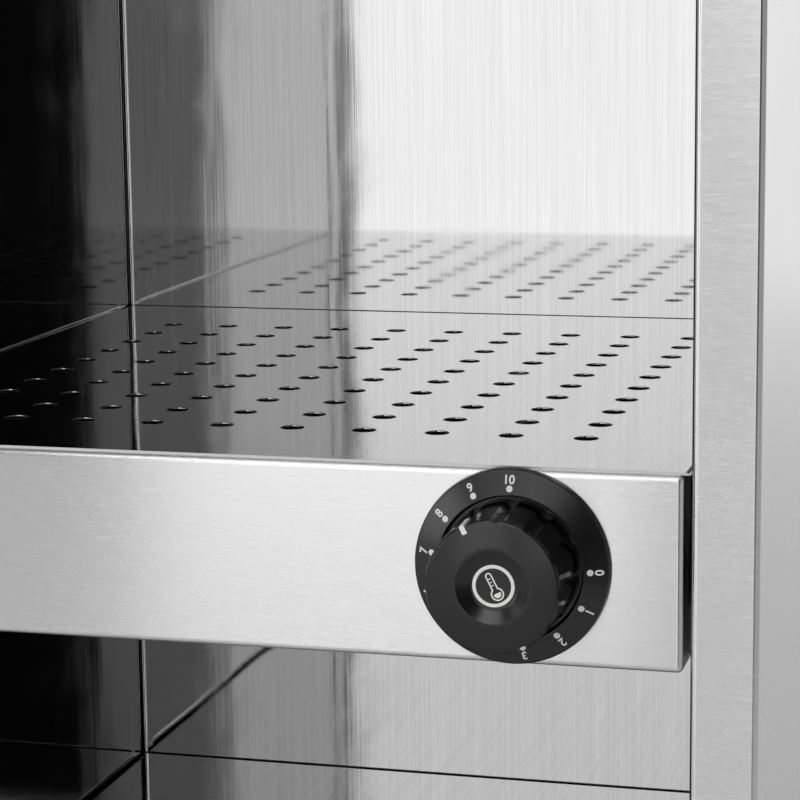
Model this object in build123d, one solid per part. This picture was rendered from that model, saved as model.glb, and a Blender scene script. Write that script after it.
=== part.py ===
from build123d import *
import os
from math import atan2, degrees

# Cup warmer: open-fronted sheet steel cabinet with a heated, perforated shelf at mid height.
# Millimetres, +Z up, the open front faces -Y, origin at the centre of the footprint on the table.

# Cabinet
inner_width = 309.0
wall_width = 21.0
inner_depth = 334.0
rear_space = 10.0
foot_height = 17.5
base_height = 20.0
lower_clear = 151.0
box_height = 62.5
middle_clear = 151.0
shelf_height = 15.0
top_clear = 151.0
cover_height = 22.0

# Sheet metal
sheet = 0.8
inside_bend = 1.2
lip_depth = 14.0
rear_flange = 16.0
corner_flange = 12.0
liner_margin = 2.0
clearance = 0.3

# Covers, shelves and rails
cover_rim = 15.0
cover_play = 0.2
fascia_gap = 2.1
fascia_flange = 18.0
flange_relief = 4.0
base_side_gap = 0.5
base_flange = 12.0
shelf_side_gap = 1.0
shelf_setback = 8.0
shelf_rear_gap = 1.5
floor_flange = 15.0
ceiling_flange = 14.0
rail_thickness = 1.2
rail_drop = 22.0
rail_ledge = 14.0

# Perforations
hole_radius = 4.1
hole_pitch = 25.0
hole_columns = 10
hole_rows = 10
first_row = 51.3
slot_length = 60.0
slot_width = 8.0
slot_columns = 3
slot_column_pitch = 90.0
slot_rows = 7
slot_row_pitch = 40.0
vent_length = 40.0
vent_width = 5.0
vent_pitch = 14.0
vents_per_group = 6
vent_group_x = 80.0
vent_above_deck = 100.0
floor_vent_pitch = 70.0

# Dial and knob, measured from the fascia's front face
knob_inset = 55.1
knob_drop = 31.0
knob_reach = 29.0
knob_face_radius = 20.7
knob_base_radius = 21.6
knob_start = 3.2
knob_edge = 0.9
knob_base_edge = 0.4
knob_wall = 2.4
knob_roof = 3.2
flute_count = 12
flute_radius = 3.6
flute_depth = 0.8
dish_radius = 11.3
dish_floor_radius = 7.1
dish_depth = 2.2
dish_edge = 0.5
dish_floor_edge = 2.5
boss_radius = 5.2
boss_start = 4.4
rib_thickness = 1.2
rib_start = 9.0
rib_end_gap = 1.5
cavity_draft = 1.0
pointer_width = 1.6
pointer_depth = 0.7
pointer_on_face = 1.3
pointer_length = 9.0
bezel_radius = 31.0
bezel_outer_height = 2.6
bezel_inner_height = 5.2
bezel_lip_radius = 22.6
bezel_slant = 0.3
bezel_outer_edge = 0.6
bezel_lip_edge = 0.4
bezel_web = 2.5
bezel_opening = 7.0
degrees_per_mark = 27.0
rest_mark = 9

# Thermostat
shaft_radius = 3.0
shaft_flat = 1.6
shaft_end = 20.0
shaft_foot = 11.0
running_clearance = 0.05
bushing_radius = 5.0
bushing_front = 1.6
thermostat_width = 36.0
thermostat_height = 42.0
thermostat_depth = 24.0
thermostat_edge = 3.0
thermostat_blade_x = 10.0
thermostat_blade_y = 4.0
thermostat_blade = 8.0
mount_plate = 1.2
mount_pitch = 28.0
mount_margin = 5.0
mount_half_width = 9.0
screw_radius = 2.0
screw_head_radius = 3.6
screw_head_height = 2.2
screw_bite = 7.0
screw_tip_room = 2.0
bulb_radius = 3.0
bulb_length = 80.0
bulb_clip_inset = 16.0
bulb_tab = 6.0
bulb_row = 100.0
capillary_radius = 0.9

# Heater
element_radius = 3.25
element_drop = 24.0
element_first = 70.0
element_pitch = 58.0
element_legs = 4
element_half_span = 105.0
element_cold_end = 12.0
seal_radius = 4.6
seal_length = 12.0
pin_radius = 1.5
pin_length = 8.0
clip_width = 10.0
clip_thickness = 0.8
clip_tab = 9.0
clip_x = 60.0
reflector_gap = 3.0
reflector_half_width = 120.0
reflector_foot = 14.0
reflector_margin = 20.0
reflector_sheet = 0.6
cutout_radius = 8.0
cutout_height = 7.0
cutout_ear = 24.0
cutout_blade_x = 4.0
cutout_plate = 1.0
wire_lift = 18.0
blade_length = 6.0
blade_width = 6.3
blade_thickness = 0.8

# Wiring and cable entry
earth_radius = 2.5
earth_height = 14.0
wire_radius = 1.3
block_length = 34.0
block_depth = 18.0
block_height = 15.0
block_pole_pitch = 10.0
block_screw_hole = 2.2
block_socket = 4.0
block_edge = 1.5
block_offset = 45.0
block_gap = 12.0
earth_offset = 40.0
wire_stub = 8.0
wire_step = 4.0
wire_bend = 4.0
capillary_stub = 14.0
capillary_reach = 22.0
capillary_bend = 8.0
gland_x = 60.0
gland_rise = 34.0
gland_reach = 20.0
gland_thread_radius = 8.0
gland_across_flats = 22.0
gland_hex = 5.0
gland_stub = 8.0
gland_seal_step = 2.0
gland_nose = 5.0
gland_nut_height = 4.5
gland_stub_radius = 7.2
gland_bore = 5.5
gland_seal_bore = 4.0
gland_cap_radius = 10.4
gland_cap_flats = 19.0
gland_cap_grip = 8.0
wire_window = 12.0

# Feet and fasteners
foot_radius = 15.0
foot_tip_radius = 13.0
foot_edge = 1.2
foot_inset = 30.0
foot_recess = 4.5
foot_recess_radius = 7.0
foot_bore = 2.8
foot_screw_radius = 2.5
foot_head_radius = 4.8
foot_head_height = 2.8
foot_nut_flats = 8.0
foot_nut_height = 4.0
panel_screw_radius = 1.75
panel_screw_head = 3.5
panel_screw_head_height = 1.8
panel_screw_length = 7.0
head_bevel = 0.45
recess_share = 0.56
recess_width = 0.8
recess_depth = 0.9
fascia_screw_inset = 18.0
rear_screw_low = 40.0
rear_screw_high = 25.0
panel_nut_flats = 7.0
panel_nut_height = 3.0
rivet_radius = 1.6
rivet_head_radius = 3.2
rivet_head_height = 0.9
rivet_tail = 1.5
rivet_tail_radius = 2.1
rivets_per_rail = 3
peg_radius = 3.0
peg_length = 9.0
peg_shoulder_radius = 4.6
peg_shoulder = 1.4
peg_shank_radius = 2.4
peg_tail_radius = 3.4
peg_tail = 2.0
peg_inset = 60.0

# Places worked out from the sizes above
half_in = inner_width / 2
half_out = half_in + wall_width
cabinet_depth = inner_depth + rear_space
front_y = knob_reach - (knob_reach + cabinet_depth + gland_reach) / 2
rear_y = front_y + cabinet_depth
liner_x = half_in + sheet
liner_y = front_y + inner_depth
base_z = foot_height
tray_top = base_z + sheet
floor_z = base_z + base_height
box_z = floor_z + lower_clear
deck_z = box_z + box_height
shelf_z = deck_z + middle_clear
ceiling_z = shelf_z + shelf_height + top_clear
top_z = ceiling_z + cover_height
box_floor_z = box_z + sheet
box_floor_top = box_floor_z + sheet
deck_under_z = deck_z - sheet
bend = inside_bend + sheet
skin_top = top_z - bend
bulb_z = deck_under_z - bulb_radius - running_clearance - clip_thickness
knob_x = half_in - knob_inset
knob_z = deck_z - knob_drop
element_z = deck_z - element_drop
reflector_z = element_z - element_radius - reflector_gap
wire_z = reflector_z + wire_lift
blade_tip_y = front_y + sheet + mount_plate + thermostat_depth + thermostat_blade
pointer_angle = (-rest_mark * degrees_per_mark) % 360
dial = Location((knob_x, front_y, knob_z), (90, 0, 0))
gland = Location((gland_x, rear_y, box_z + gland_rise), (-90, 0, 0))


def block(x0, x1, y0, y1, z0, z1):
    """Plain box between two corners."""
    return Pos((x0 + x1) / 2, (y0 + y1) / 2, (z0 + z1) / 2) * Box(x1 - x0, y1 - y0, z1 - z0)


def rounded_block(corners, open_face, radius):
    """Box whose edges are rounded, apart from those of its open face."""
    body = block(*corners)
    axis = {"x": Axis.X, "y": Axis.Y, "z": Axis.Z}[open_face[1]]
    face = body.faces().sort_by(axis)[-1 if open_face[0] == "+" else 0]
    return fillet(body.edges() - face.edges(), radius)


def pan(corners, open_face, thickness=sheet, radius=bend):
    """Folded pan of even thickness, open on one face."""
    x0, x1, y0, y1, z0, z1 = corners
    inner = [x0 + thickness, x1 - thickness, y0 + thickness, y1 - thickness, z0 + thickness, z1 - thickness]
    side = {"x": 0, "y": 2, "z": 4}[open_face[1]] + (1 if open_face[0] == "+" else 0)
    past = 2 * thickness
    inner[side] += past if open_face[0] == "+" else -past
    return rounded_block(corners, open_face, radius) - rounded_block(inner, open_face, radius - thickness)


def strip_outline(points, thickness, inner_radius, side):
    """Closed outline of a folded strip: one face follows the points, side is 1 for metal on their left."""
    steps = [(b[0] - a[0], b[1] - a[1]) for a, b in zip(points, points[1:])]
    lengths = [(x * x + y * y) ** 0.5 for x, y in steps]
    normals = [(-side * y / n, side * x / n) for (x, y), n in zip(steps, lengths)]
    inside = []
    for i, (x, y) in enumerate(points):
        a = normals[max(i - 1, 0)]
        b = normals[min(i, len(normals) - 1)]
        share = thickness / (1 + a[0] * b[0] + a[1] * b[1])
        inside.append((x + share * (a[0] + b[0]), y + share * (a[1] + b[1])))
    towards = [side * (a[0] * b[1] - a[1] * b[0]) > 0 for a, b in zip(steps, steps[1:])]
    near = [inner_radius + thickness * turn for turn in towards]
    far = [inner_radius + thickness * (not turn) for turn in towards]
    radii = [0] + near + [0, 0] + far[::-1] + [0]
    return make_face(FilletPolyline(*(points + inside[::-1]), radius=radii, close=True))


def along_y(face, y0, y1):
    """Profile drawn as (x, z), carried from y0 to y1."""
    return Pos(0, y1, 0) * Rot(90, 0, 0) * extrude(face, y1 - y0)


def along_x(face, x0, x1):
    """Profile drawn as (y, z), carried from x0 to x1."""
    return Pos(x0, 0, 0) * extrude(Plane.YZ * face, x1 - x0)


def along_z(face, z0, z1):
    return Pos(0, 0, z0) * extrude(face, z1 - z0)


def turned(points, radii=0):
    """Solid of revolution about Z from an outline of (radius, height) points."""
    rounds = radii if isinstance(radii, list) else [radii] * len(points)
    outline = FilletPolyline(*points, radius=rounds, close=True)
    return revolve(Plane.XZ * make_face(outline), Axis.Z)


def rod(radius, z0, z1):
    return Pos(0, 0, (z0 + z1) / 2) * Cylinder(radius, z1 - z0)


def hexagon(across_flats, z0, z1):
    return Pos(0, 0, z0) * extrude(RegularPolygon(across_flats / 2, 6, major_radius=False), z1 - z0)


def tube_path(points, tube_radius, bend_radius):
    """Round tube along straight runs joined by tangent arcs."""
    path = FilletPolyline(*points, radius=bend_radius)
    start = Plane(origin=path @ 0, z_dir=path % 0)
    return sweep(start * Circle(tube_radius), path=path)


def pan_head_screw(shank, head, head_height, length):
    """Screw along Z: the head's seat at 0, the cross-recessed head above and the shank below."""
    edge = head_bevel * head_height
    bevel_start = head_height - edge
    dome = turned([(0, 0), (head, 0), (head, bevel_start), (head - edge, head_height), (0, head_height)])
    arm = 2 * recess_share * head
    floor = head_height - recess_depth
    slot = block(-arm / 2, arm / 2, -recess_width / 2, recess_width / 2, floor, head_height + 1)
    return dome + rod(shank, -length, 0) - [slot, Rot(0, 0, 90) * slot]


def mirrored(shape):
    return mirror(shape, Plane.YZ)


# Places of the fasteners, used by the fasteners and by the holes that take them
rear_screw_levels = [base_z + rear_screw_low, (base_z + top_z) / 2, top_z - cover_rim - rear_screw_high]
rear_screw_x = half_out - rear_flange / 2
cover_screw_z = top_z - cover_rim / 2
foot_places = {
    "front_left": (-(half_out - foot_inset), front_y + foot_inset),
    "front_right": (half_out - foot_inset, front_y + foot_inset),
    "rear_left": (-(half_out - foot_inset), rear_y - foot_inset),
    "rear_right": (half_out - foot_inset, rear_y - foot_inset),
}
rail_y0 = front_y + fascia_flange + flange_relief
rail_y1 = liner_y - corner_flange - flange_relief
rivet_ys = [rail_y0 + (rail_y1 - rail_y0) * (k + 0.5) / rivets_per_rail for k in range(rivets_per_rail)]
rivet_z = box_floor_z - rail_drop / 2
peg_z = shelf_z - peg_radius
peg_ys = [front_y + peg_inset, liner_y - peg_inset]
fascia_screw_xs = [fascia_screw_inset - half_in, 0, half_in - fascia_screw_inset]
fascia_screw_y = front_y + fascia_flange * 0.6
plate_y0 = front_y + element_first - reflector_margin
plate_y1 = front_y + element_first + (element_legs - 1) * element_pitch + reflector_margin
leg_ys = [front_y + element_first + k * element_pitch for k in range(element_legs)]
lead_x = element_half_span + element_cold_end
pin_x = lead_x + seal_length + pin_length / 2
pin_reach = pin_radius + running_clearance
block_x = gland_x - block_offset
block_y = plate_y1 + block_gap
earth_x = block_x - earth_offset
earth_y = block_y + block_depth / 2
cutout_x = clip_x / 2
cutout_y = leg_ys[1] + element_pitch / 2


def side_hole(radius, y, z):
    """Cutter along X through the right-hand wall."""
    return Pos(half_in, y, z) * Rot(0, 90, 0) * Cylinder(radius, 2 * wall_width)


def rear_hole(radius, x, z):
    """Cutter along Y through the rear skins."""
    return Pos(x, rear_y, z) * Rot(90, 0, 0) * Cylinder(radius, 2 * rear_space)


def right_outer_panel():
    points = [
        (half_in, front_y + lip_depth),
        (half_in, front_y),
        (half_out, front_y),
        (half_out, rear_y - sheet),
        (half_out - rear_flange, rear_y - sheet),
    ]
    body = along_z(strip_outline(points, sheet, inside_bend, 1), tray_top, skin_top)
    for z in rear_screw_levels + [cover_screw_z]:
        body -= rear_hole(panel_screw_radius + running_clearance, rear_screw_x, z)
    return body


def right_inner_panel():
    far_x = half_out - sheet - liner_margin
    points = [
        (far_x, front_y + sheet),
        (liner_x, front_y + sheet),
        (liner_x, liner_y + sheet),
        (far_x, liner_y + sheet),
    ]
    body = along_z(strip_outline(points, sheet, inside_bend, -1), tray_top, skin_top)
    for y in rivet_ys:
        body -= side_hole(rivet_radius + running_clearance, y, rivet_z)
    for y in peg_ys:
        body -= side_hole(peg_shank_radius + running_clearance, y, peg_z)
    return body


def rear_inner_panel():
    points = [
        (liner_x, liner_y - corner_flange),
        (liner_x, liner_y + sheet),
        (-liner_x, liner_y + sheet),
        (-liner_x, liner_y - corner_flange),
    ]
    body = along_z(strip_outline(points, sheet, bend, 1), tray_top, top_z - sheet)
    return body - rear_hole(wire_window, gland_x, box_z + gland_rise)


def rear_outer_panel():
    width = half_out - 2 * cover_play
    body = block(-width, width, rear_y - sheet, rear_y, tray_top, skin_top)
    for side in (-1, 1):
        for z in rear_screw_levels + [cover_screw_z]:
            body -= rear_hole(panel_screw_radius + running_clearance, side * rear_screw_x, z)
    for level in (deck_z + vent_above_deck, box_z - vent_above_deck):
        for side in (-1, 1):
            for k in range(vents_per_group):
                x = side * vent_group_x + (k - (vents_per_group - 1) / 2) * vent_pitch
                slot = extrude(SlotOverall(vent_length, vent_width, rotation=90), 4 * sheet)
                body -= Pos(x, rear_y + sheet, level) * Rot(90, 0, 0) * slot
    return body - rear_hole(gland_thread_radius + running_clearance, gland_x, box_z + gland_rise)


def base_tray():
    width = half_out - sheet
    corners = [-width, width, front_y - 2 * bend, rear_y - 2 * sheet, base_z, base_z + base_flange]
    body = pan(corners, "+z")
    body -= block(-half_out, half_out, front_y - 4 * bend, front_y, 0, top_z)
    body -= block(-half_out, half_out, front_y - bend, front_y + flange_relief, tray_top, top_z)
    for x, y in foot_places.values():
        body -= Pos(x, y, base_z) * Cylinder(foot_screw_radius + running_clearance, 4 * sheet)
    return body


def base_shelf():
    width = half_in - base_side_gap
    return pan([-width, width, front_y, liner_y, tray_top, floor_z], "-z")


def perforation(columns, rows, pitch_x, pitch_y, first_y, z, cutter):
    """Grid of cutters, centred across the cabinet."""
    grid = []
    for i in range(columns):
        for j in range(rows):
            grid.append(Pos((i - (columns - 1) / 2) * pitch_x, first_y + j * pitch_y, z) * cutter)
    return grid


def heated_shelf():
    corners = [-half_in, half_in, front_y - 2 * bend, liner_y, box_floor_z, deck_z]
    body = pan(corners, "-z")
    body -= block(-half_out, half_out, front_y - 4 * bend, front_y + bend, 0, top_z)
    body -= block(-half_out, half_out, front_y, front_y + fascia_flange + flange_relief, 0, deck_under_z)
    window = Pos(gland_x, liner_y, box_z + gland_rise) * Rot(90, 0, 0) * Cylinder(wire_window, 4 * bend)
    body -= window
    hole = Cylinder(hole_radius, 4 * sheet)
    holes = perforation(hole_columns, hole_rows, hole_pitch, hole_pitch, front_y + first_row, deck_z, hole)
    return body - holes


def control_fascia():
    width = half_in - fascia_gap
    body = pan([-width, width, front_y, front_y + fascia_flange, box_z, deck_under_z], "+y")
    body -= dial * Cylinder(bushing_radius + clearance, 8 * sheet)
    hole = Cylinder(screw_radius + running_clearance, 8 * sheet)
    for side in (-1, 1):
        body -= dial * Pos(side * mount_pitch / 2, 0, 0) * hole
    for x in fascia_screw_xs:
        body -= Pos(x, fascia_screw_y, box_z) * Cylinder(panel_screw_radius + running_clearance, 4 * sheet)
    return body


def return_notches(level):
    """Cutters that make room for the side returns of a front channel."""
    edge = half_in - fascia_gap - sheet - inside_bend
    depth = fascia_flange + clearance
    return [
        block(edge, half_out, front_y, front_y + depth, level - bend, level + box_height),
        block(-half_out, -edge, front_y, front_y + depth, level - bend, level + box_height),
    ]


def heater_box_floor():
    width = half_in - sheet
    corners = [-width, width, front_y - 2 * bend, liner_y - sheet, box_floor_z, box_floor_z + floor_flange]
    body = pan(corners, "+z")
    start = front_y + flange_relief
    body -= block(-half_out, half_out, front_y - 4 * bend, start, 0, top_z)
    body -= block(-half_out, half_out, start, start + fascia_flange, box_floor_top, top_z)
    body -= return_notches(box_z)
    for x in fascia_screw_xs:
        body -= Pos(x, fascia_screw_y, box_z) * Cylinder(panel_screw_radius + running_clearance, 6 * sheet)
    slot = extrude(SlotOverall(slot_length, slot_width), 4 * sheet)
    first = (front_y + liner_y) / 2 - floor_vent_pitch / 2
    return body - perforation(slot_columns, 2, slot_column_pitch, floor_vent_pitch, first, box_z, slot)


def upper_shelf():
    width = half_in - shelf_side_gap
    y0, y1 = front_y + shelf_setback, liner_y - shelf_rear_gap
    corners = [-width, width, y0, y1, shelf_z, shelf_z + shelf_height]
    slot = extrude(SlotOverall(slot_length, slot_width), 4 * sheet)
    first = (y0 + y1 + shelf_rear_gap) / 2 - (slot_rows - 1) / 2 * slot_row_pitch
    level = shelf_z + shelf_height - 2 * sheet
    return pan(corners, "-z") - perforation(
        slot_columns, slot_rows, slot_column_pitch, slot_row_pitch, first, level, slot
    )


def ceiling_panel():
    bottom = ceiling_z + sheet
    corners = [-half_in, half_in, front_y - 2 * bend, liner_y, bottom, ceiling_z + ceiling_flange]
    body = pan(corners, "+z")
    start = front_y + flange_relief
    body -= block(-half_out, half_out, front_y - 4 * bend, start, 0, top_z + 1)
    body -= block(-half_out, half_out, start, start + fascia_flange, bottom + sheet, top_z)
    return body - return_notches(ceiling_z)


def front_header():
    width = half_in - fascia_gap
    corners = [-width, width, front_y, front_y + fascia_flange, ceiling_z, top_z - sheet]
    return pan(corners, "+y")


def top_cover():
    reach = cover_play + sheet
    width = half_out + reach
    body = pan([-width, width, front_y - reach, rear_y + reach, top_z - cover_rim, top_z], "-z")
    for side in (-1, 1):
        body -= rear_hole(panel_screw_radius + running_clearance, side * rear_screw_x, cover_screw_z)
    return body


def right_shelf_rail():
    points = [(liner_x, box_floor_z - rail_drop), (liner_x, box_floor_z), (liner_x - rail_ledge, box_floor_z)]
    body = along_y(strip_outline(points, rail_thickness, rail_thickness, 1), rail_y0, rail_y1)
    for y in rivet_ys:
        body -= side_hole(rivet_radius + running_clearance, y, rivet_z)
    return body


def rail_rivets():
    """Head against the rail, shank through rail and liner, formed tail inside the wall."""
    grip = rail_thickness + sheet
    head = turned([(0, 0), (rivet_head_radius, 0), (rivet_radius, rivet_head_height), (0, rivet_head_height)])
    rivet = head + rod(rivet_radius, -grip, 0) + rod(rivet_tail_radius, -grip - rivet_tail, -grip)
    rivets = []
    for y in rivet_ys:
        right = Location((liner_x - rail_thickness, y, rivet_z), (0, -90, 0)) * rivet
        rivets += [right, mirrored(right)]
    return Compound(children=rivets)


def shelf_pegs():
    """Stepped pins in the side liners that the upper shelf rests on."""
    peg = rod(peg_radius, 0, peg_length) + rod(peg_shoulder_radius, 0, peg_shoulder)
    peg += rod(peg_shank_radius, -sheet, 0) + rod(peg_tail_radius, -sheet - peg_tail, -sheet)
    pegs = []
    for y in peg_ys:
        right = Location((liner_x, y, peg_z), (0, -90, 0)) * peg
        pegs += [right, mirrored(right)]
    return Compound(children=pegs)


def heat_reflector():
    """Plate under the element with folded legs that stand on the box floor."""
    foot_top = box_floor_top + reflector_sheet
    points = [
        (-reflector_half_width - reflector_foot, foot_top),
        (-reflector_half_width, foot_top),
        (-reflector_half_width, reflector_z),
        (reflector_half_width, reflector_z),
        (reflector_half_width, foot_top),
        (reflector_half_width + reflector_foot, foot_top),
    ]
    return along_y(strip_outline(points, reflector_sheet, inside_bend, -1), plate_y0, plate_y1)


def heating_element():
    """Tubular element in flat serpentine legs across the cabinet, both ends at the right."""
    points = []
    for k, y in enumerate(leg_ys):
        last = k == element_legs - 1
        right = (lead_x if k == 0 or last else element_half_span, y, element_z)
        left = (-element_half_span, y, element_z)
        points += [right, left] if k % 2 == 0 else [left, right]
    return tube_path(points, element_radius, 0.49 * element_pitch)


def element_seals():
    """Ceramic end seals with their contact pins."""
    seal = rod(seal_radius, 0, seal_length) + rod(pin_radius, 0, seal_length + pin_length)
    ends = [Location((lead_x, y, element_z), (0, 90, 0)) * seal for y in (leg_ys[0], leg_ys[-1])]
    return Compound(children=ends)


def element_clips():
    """Saddle straps that hold the tube down on the reflector."""
    over = element_radius + running_clearance + clip_thickness
    top = element_z - reflector_z + over
    tab = over + clip_tab
    half = [(over, top), (over, clip_thickness), (tab, clip_thickness)]
    strap = [(-y, z) for y, z in reversed(half)] + half
    clip = along_x(strip_outline(strap, clip_thickness, clip_thickness, -1), -clip_width / 2, clip_width / 2)
    places = [(side * clip_x, y) for y in leg_ys for side in (-1, 1)]
    return Compound(children=[Pos(x, y, reflector_z) * clip for x, y in places])


def contact_blade(x, y, start, length):
    half = blade_thickness / 2
    return block(x - half, x + half, y - blade_width / 2, y + blade_width / 2, start, start + length)


def thermal_cutout():
    """Disc limiter on the reflector, between two element legs."""
    half_ear = cutout_ear / 2
    disc = rod(cutout_radius, cutout_plate, cutout_height)
    disc += block(-half_ear, half_ear, -blade_width / 2, blade_width / 2, 0, cutout_plate)
    blades = [contact_blade(x, 0, cutout_height, blade_length) for x in (-cutout_blade_x, cutout_blade_x)]
    return Pos(cutout_x, cutout_y, reflector_z) * (disc + blades)


def thermostat_body():
    back = -sheet - mount_plate
    reach = mount_pitch / 2 + mount_margin
    plate = block(-reach, reach, -mount_half_width, mount_half_width, back, -sheet)
    half_w = thermostat_width / 2
    half_h = thermostat_height / 2
    case = block(-half_w, half_w, -half_h, half_h, back - thermostat_depth, back)
    case = fillet(case.edges().filter_by(Axis.Z), thermostat_edge)
    bushing = rod(bushing_radius, back, bushing_front)
    rear = back - thermostat_depth - thermostat_blade
    blades = []
    for x in (-thermostat_blade_x, thermostat_blade_x):
        blades.append(contact_blade(x, thermostat_blade_y, rear, thermostat_blade))
    body = plate + case + bushing + blades
    body -= rod(shaft_radius + running_clearance, -shaft_foot - running_clearance, bushing_front + 1)
    for side in (-1, 1):
        hole = rod(screw_radius + running_clearance, -sheet - screw_bite - screw_tip_room, 1)
        body -= Pos(side * mount_pitch / 2, 0, 0) * hole
    return dial * body


def thermostat_screws():
    length = bezel_web + sheet + screw_bite
    screw = pan_head_screw(screw_radius, screw_head_radius, screw_head_height, length)
    return Compound(children=[dial * Pos(side * mount_pitch / 2, 0, bezel_web) * screw for side in (-1, 1)])


def thermostat_shaft():
    shaft = rod(shaft_radius, -shaft_foot, shaft_end)
    flat = block(shaft_flat, 2 * shaft_radius, -shaft_radius, shaft_radius, boss_start, shaft_end + 1)
    return dial * Rot(0, 0, pointer_angle) * (shaft - flat)


def knob_form():
    """Outer form of the knob before its flutes: tapered side, rounded edge and dished face."""
    top = knob_reach
    outline = [
        (0, knob_start),
        (knob_base_radius, knob_start),
        (knob_face_radius, top),
        (dish_radius, top),
        (dish_floor_radius, top - dish_depth),
        (0, top - dish_depth),
    ]
    return turned(outline, [0, knob_base_edge, knob_edge, dish_edge, dish_floor_edge, 0])


def fluted_knob():
    rise = knob_reach - knob_start
    lean = degrees(atan2(knob_base_radius - knob_face_radius, rise))
    middle = (knob_base_radius + knob_face_radius) / 2 + flute_radius - flute_depth
    flute = Pos(middle, 0, knob_start + rise / 2) * Rot(0, -lean, 0) * Cylinder(flute_radius, 2 * rise)
    turns = [pointer_angle + 360 / flute_count * k for k in range(flute_count)]
    return knob_form() - [Rot(0, 0, turn) * flute for turn in turns]


def pointer_cutter():
    """L-shaped bar over the knob's edge, along its face and down its side."""
    half = pointer_width / 2
    groove = knob_face_radius - flute_depth - pointer_depth
    far = knob_base_radius + 1
    on_face = block(groove - pointer_on_face, far, -half, half, knob_reach - pointer_depth, knob_reach + 1)
    down_side = block(groove, far, -half, half, knob_reach - pointer_length, knob_reach + 1)
    return Rot(0, 0, pointer_angle) * (on_face + down_side)


def control_knob():
    roof = knob_reach - dish_depth - knob_roof
    cavity_radius = knob_base_radius - knob_wall
    mouth = knob_start - 1
    cavity = turned([(0, mouth), (cavity_radius, mouth), (cavity_radius - cavity_draft, roof), (0, roof)])
    boss = rod(boss_radius, boss_start, roof + 1)
    spoke = block(0, cavity_radius - rib_end_gap, -rib_thickness / 2, rib_thickness / 2, rib_start, roof + 1)
    ribs = [Rot(0, 0, pointer_angle + 45 + 90 * k) * spoke for k in range(4)]
    bore = rod(shaft_radius + running_clearance, mouth, shaft_end + running_clearance)
    far = 2 * shaft_radius
    bore -= block(shaft_flat + running_clearance, far, -far, far, boss_start - 2, shaft_end + 1)
    body = fluted_knob() - cavity + boss + ribs
    body -= Rot(0, 0, pointer_angle) * bore
    return dial * (body - pointer_cutter())


def knob_pointer():
    """Inlay that fills its flute out to the knob's full radius."""
    return dial * (knob_form() & pointer_cutter())


def dial_bezel():
    """Raised scale ring with a recessed web that the knob turns in."""
    outline = [
        (bezel_opening, 0),
        (bezel_radius, 0),
        (bezel_radius - bezel_slant, bezel_outer_height),
        (bezel_lip_radius + bezel_slant, bezel_inner_height),
        (bezel_lip_radius, bezel_web),
        (bezel_opening, bezel_web),
    ]
    body = turned(outline, [0, 0, bezel_outer_edge, bezel_lip_edge, bezel_lip_edge, 0])
    hole = Cylinder(screw_radius + running_clearance, 4 * bezel_web)
    for side in (-1, 1):
        body -= Pos(side * mount_pitch / 2, 0, bezel_web) * hole
    return dial * body


def sensor_bulb():
    """Temperature bulb lying under the perforated deck."""
    tip = 0.8 * bulb_radius
    outline = [(0, 0), (bulb_radius, 0), (bulb_radius, bulb_length), (0, bulb_length)]
    body = turned(outline, [0, tip, tip, 0])
    return Location((-bulb_length / 2, front_y + bulb_row, bulb_z), (0, 90, 0)) * body


def bulb_clips():
    """Two straps, spot-welded under the deck, that cradle the bulb."""
    reach = bulb_radius + running_clearance
    outer = reach + clip_thickness
    wrap = rod(outer, 0, clip_width) - rod(reach, -1, clip_width + 1)
    clip = wrap + block(-outer, -reach, -reach - bulb_tab, reach + bulb_tab, 0, clip_width)
    clips = []
    for side in (-1, 1):
        x = side * (bulb_length / 2 - bulb_clip_inset) - clip_width / 2
        clips.append(Location((x, front_y + bulb_row, bulb_z), (0, 90, 0)) * clip)
    return Compound(children=clips)


def thermostat_capillary():
    """Fine copper tube from the thermostat's case to the bulb."""
    case_y = front_y + sheet + mount_plate + thermostat_depth
    bulb_y = front_y + bulb_row
    bulb_end = bulb_length / 2
    points = [
        (knob_x, case_y, knob_z + thermostat_height / 3),
        (knob_x, case_y + capillary_stub, knob_z + thermostat_height / 3),
        (knob_x - capillary_stub, bulb_y - capillary_stub, bulb_z),
        (bulb_end + capillary_reach, bulb_y, bulb_z),
        (bulb_end, bulb_y, bulb_z),
    ]
    return tube_path(points, capillary_radius, capillary_bend)


def terminal_block():
    body = block(0, block_length, 0, block_depth, 0, block_height)
    body = fillet(body.edges().filter_by(Axis.Z), block_edge)
    first = (block_length - 2 * block_pole_pitch) / 2
    socket = Rot(90, 0, 0) * Cylinder(wire_radius + running_clearance, 2 * block_socket)
    for k in range(3):
        x = first + k * block_pole_pitch
        body -= Pos(x, block_depth / 2, block_height) * Cylinder(block_screw_hole, 2 * block_socket)
        body -= [Pos(x, y, block_height / 2) * socket for y in (0, block_depth)]
    return Pos(block_x, block_y, box_floor_top) * body


def pole(k):
    """Bottom of a front wire socket in the terminal block."""
    x = block_x + (block_length - 2 * block_pole_pitch) / 2 + k * block_pole_pitch
    return (x, block_y + block_socket, box_floor_top + block_height / 2)


def live_wire():
    """Terminal block to the cutout, lifted over the element."""
    x, y, z = pole(1)
    blade_x = cutout_x + cutout_blade_x
    rise_y = block_y - block_gap / 2
    points = [
        (x, y, z),
        (x, rise_y, z),
        (x, rise_y, wire_z),
        (blade_x, cutout_y, wire_z),
        (blade_x, cutout_y, reflector_z + cutout_height + blade_length),
    ]
    return tube_path(points, wire_radius, wire_bend)


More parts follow.
